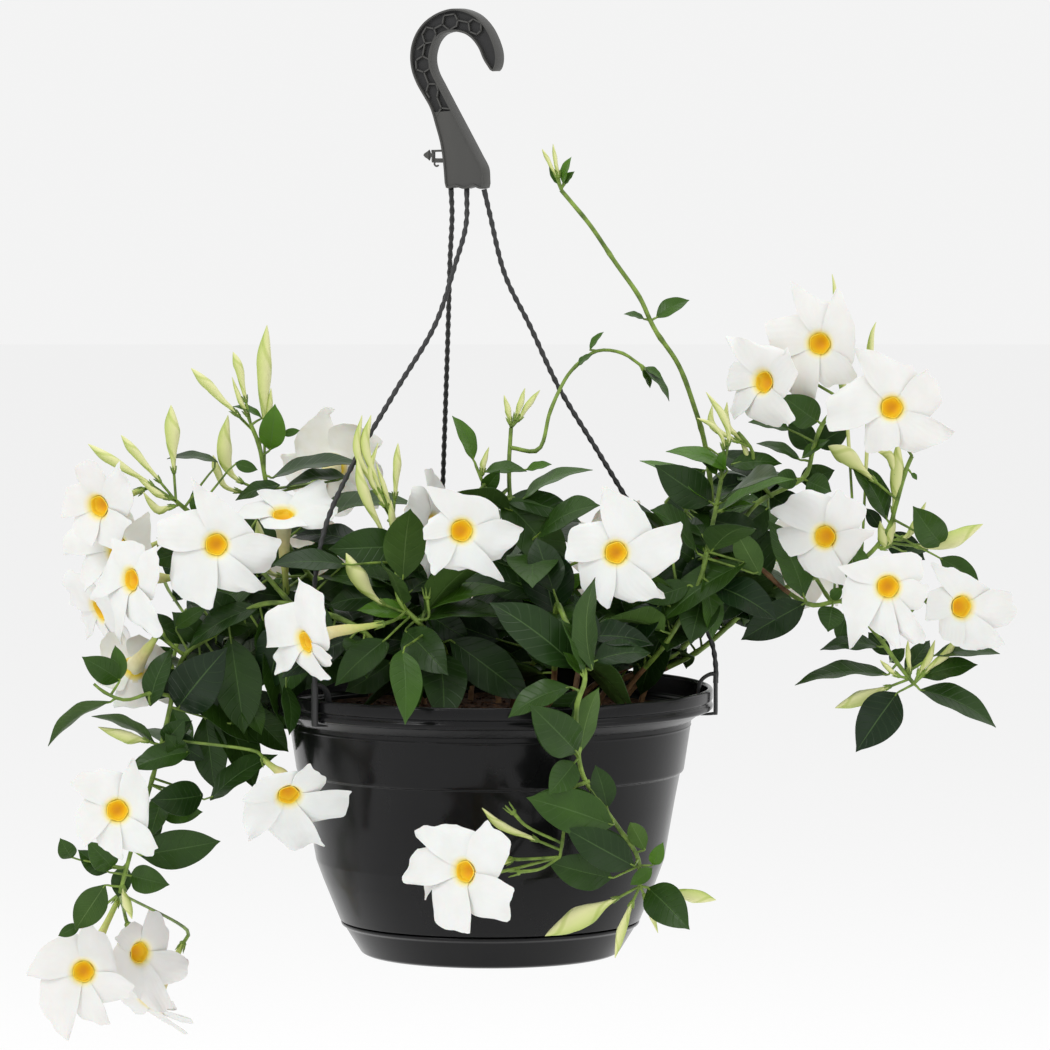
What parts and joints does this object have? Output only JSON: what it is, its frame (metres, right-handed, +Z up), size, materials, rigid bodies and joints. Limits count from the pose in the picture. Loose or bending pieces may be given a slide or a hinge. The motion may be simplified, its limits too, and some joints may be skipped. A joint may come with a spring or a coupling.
{
  "type": "potted mandevilla",
  "caption": "White-flowered climbing plant in a round black hanging pot with a saucer, on a stranded hanger with a flat hook; leafy stems trail over the rim.",
  "frame": {"origin": "the point under the hook's arc that bears on a rail or bracket", "axes": "+Z up, +X to the right and +Y away from the viewer of the picture"},
  "size_m": [0.5992, 0.3816, 0.63],
  "materials": {
    "pot_plastic": "satin",
    "hanger_plastic": "matte",
    "soil": "matte",
    "petal": "matte",
    "leaf": "satin"
  },
  "bodies": {
    "root": {"bloom_a": "petal", "bloom_b": "petal", "bloom_back_a": "petal", "bloom_back_b": "petal", "bloom_back_c": "petal", "bloom_back_d": "petal", "bloom_c": "petal", "bloom_d": "petal", "bloom_e": "petal", "bloom_f": "petal", "bloom_g": "petal", "bloom_h": "petal", "bloom_i": "petal", "bloom_j": "petal", "bloom_k": "petal", "bloom_l": "petal", "bloom_m": "petal", "bloom_n": "petal", "bloom_o": "petal", "bloom_p": "petal", "bloom_q": "petal", "bloom_r": "petal", "bloom_s": "petal", "bloom_t": "petal", "bloom_u": "petal", "bloom_v": "petal", "bloom_w": "petal", "bloom_x": "petal", "bloom_y": "petal", "drip_saucer": "pot_plastic", "hanger_hook": "hanger_plastic", "hanger_strand_back": "hanger_plastic", "hanger_strand_left": "hanger_plastic", "hanger_strand_right": "hanger_plastic", "pot": "pot_plastic", "soil": "soil", "stem_back_left": "leaf", "stem_back_middle": "leaf", "stem_back_right": "leaf", "stem_back_trail": "leaf", "stem_crown_left": "leaf", "stem_crown_middle": "leaf", "stem_front_trail": "leaf", "stem_left_top": "leaf", "stem_left_trail": "leaf", "stem_left_upper": "leaf", "stem_right_far": "leaf", "stem_right_inner": "leaf", "stem_right_low": "leaf", "stem_right_upper": "leaf", "stem_tall_shoot": "leaf"}
  },
  "joints": []
}
